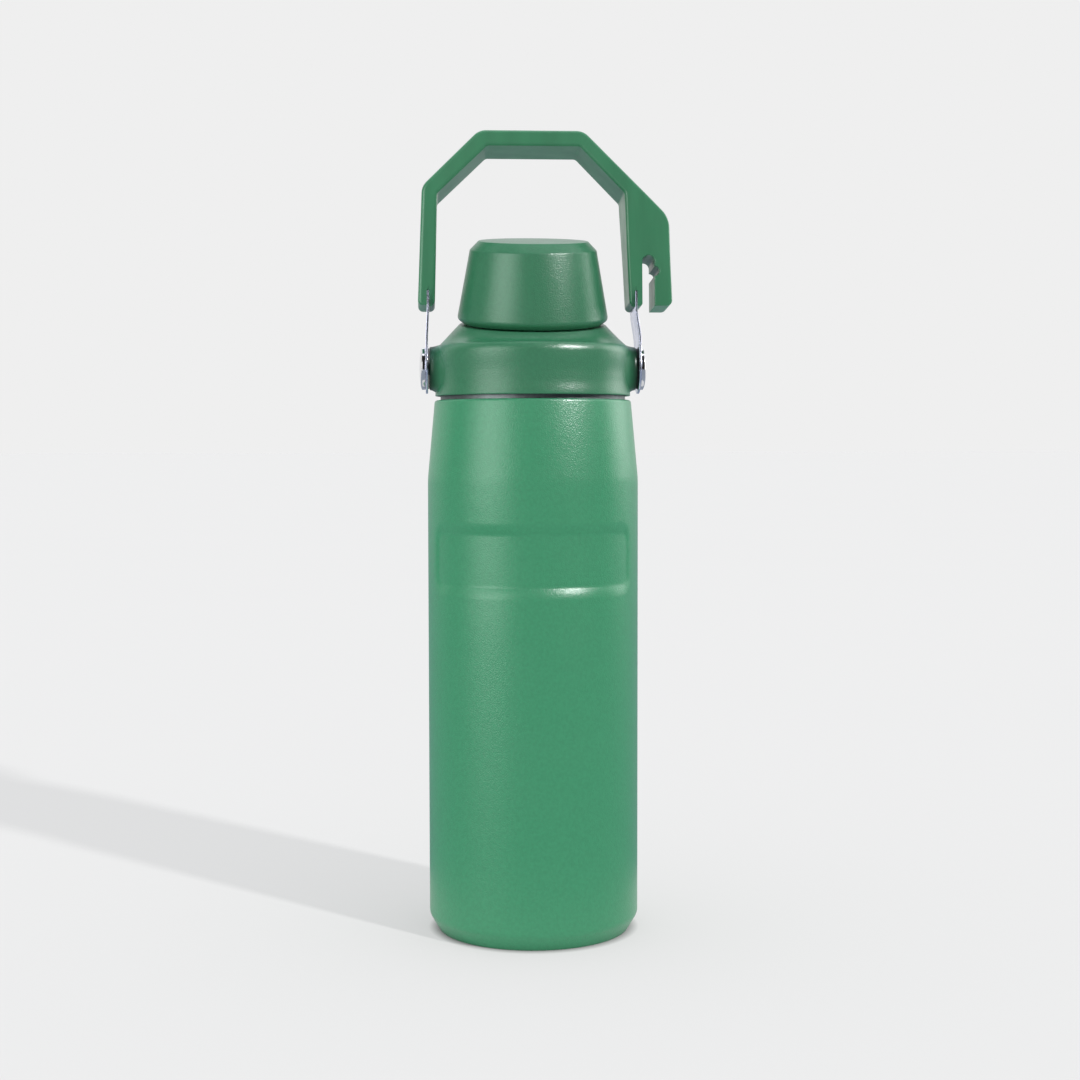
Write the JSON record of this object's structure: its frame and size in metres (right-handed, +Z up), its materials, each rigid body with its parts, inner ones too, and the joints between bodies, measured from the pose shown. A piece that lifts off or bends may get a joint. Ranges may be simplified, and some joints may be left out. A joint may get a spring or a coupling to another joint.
{
  "type": "vacuum flask",
  "caption": "Double-walled steel flask with a screw-in lid, a leaning pouring spout under a screw cap, and a swinging carry handle with a cord hook.",
  "frame": {"origin": "on the bottle's axis, in the plane of the surface that it stands on", "axes": "+Z up along the bottle's axis, +X along the handle's pivot axis towards the cord hook, -Y the front, where the spout leans"},
  "size_m": [0.0913, 0.076, 0.2882],
  "materials": {
    "body_paint": "satin powder coat",
    "lid_plastic": "fine satin moulding",
    "grip_plastic": "semi-gloss moulding",
    "plug_plastic": "plain moulding",
    "brushed_steel": "brushed",
    "polished_steel": "polished",
    "silicone": "matt",
    "nylon": "matt",
    "foam": "closed-cell foam",
    "getter_metal": "sintered",
    "seal_glass": "fused bead",
    "brass": "turned"
  },
  "bodies": {
    "bottle": {"outer_shell": "body_paint", "outer_bottom": "brushed_steel", "base_cover": "brushed_steel", "vacuum_seal": "seal_glass", "getter": "getter_metal", "inner_vessel": "brushed_steel"},
    "lid_seal": {"lid_gasket": "silicone"},
    "lid": {"lid_collar": "lid_plastic", "lid_plug": "plug_plastic", "lid_foam": "foam", "pivot_insert_left": "brass", "pivot_insert_right": "brass", "pivot_washer_left": "nylon", "pivot_washer_right": "nylon", "pivot_rivet_left": "polished_steel", "pivot_rivet_right": "polished_steel"},
    "handle": {"strap_left": "brushed_steel", "strap_right": "brushed_steel", "handle_grip": "grip_plastic"},
    "cap_seal": {"cap_gasket": "silicone"},
    "cap": {"cap_shell": "lid_plastic", "cap_liner": "plug_plastic", "cap_foam": "foam"}
  },
  "joints": [
    {"name": "lid_lift", "type": "slide", "parent": "bottle", "child": "lid_seal", "axis": [0, 0, 1], "range_m": [0, 0.0152]},
    {"name": "lid_turn", "type": "hinge", "parent": "lid_seal", "child": "lid", "pos_m": [0, 0, 0.1966], "axis": [0, 0, 1], "range_deg": [0, 1080]},
    {"name": "handle_swing", "type": "hinge", "parent": "lid", "child": "handle", "pos_m": [0, 0, 0.2035], "axis": [1, 0, 0], "range_deg": [-126, 135]},
    {"name": "cap_lift", "type": "slide", "parent": "lid", "child": "cap_seal", "axis": [0, -0.1616, 0.9869], "range_m": [0, 0.0162]},
    {"name": "cap_turn", "type": "hinge", "parent": "cap_seal", "child": "cap", "pos_m": [0, 0, 0.2193], "axis": [0, -0.1616, 0.9869], "range_deg": [0, 1152]}
  ],
  "couplings": [
    {"joint": "lid_lift", "follows": "lid_turn", "m_per_rad": 0.00079577},
    {"joint": "cap_lift", "follows": "cap_turn", "m_per_rad": 0.00079577}
  ]
}
